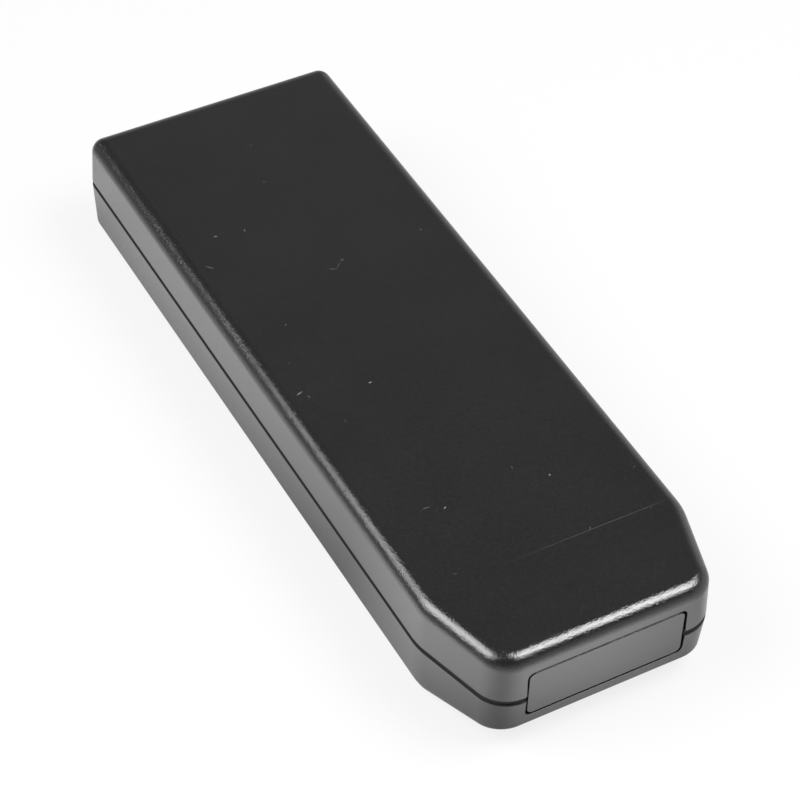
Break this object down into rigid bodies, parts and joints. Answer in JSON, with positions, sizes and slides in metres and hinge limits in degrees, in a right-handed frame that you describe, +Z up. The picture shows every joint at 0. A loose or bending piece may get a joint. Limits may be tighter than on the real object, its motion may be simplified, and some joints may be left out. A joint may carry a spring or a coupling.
{
  "type": "handheld electronics enclosure",
  "caption": "Black moulded handheld enclosure with a tapered nose, let-in end panel, battery bay and sliding battery door.",
  "frame": {"origin": "centre of the bounding box's underside: the underside rests on z = 0", "axes": "+Y from the tapered nose to the rear end, +Z up through the plain top face, +X across the width"},
  "size_m": [0.0618, 0.18, 0.0262],
  "materials": {
    "black_plastic": "fine spark-eroded texture, satin",
    "panel_plastic": "fine even texture, satin",
    "screw_steel": "zinc-plated",
    "contact_plating": "nickel-plated sheet",
    "spring_wire": "nickel-plated wire"
  },
  "bodies": {
    "case": {"top_shell": "black_plastic", "bottom_shell": "black_plastic", "end_panel": "panel_plastic", "case_screws": "screw_steel", "bridge_plate": "contact_plating", "bridge_spring": "spring_wire", "negative_plate": "contact_plating", "negative_spring": "spring_wire", "positive_plate": "contact_plating"},
    "door": {"battery_door": "black_plastic"}
  },
  "joints": [
    {"name": "door_slide", "type": "slide", "parent": "case", "child": "door", "axis": [0, 1, 0], "range_m": [0, 0.06]}
  ]
}
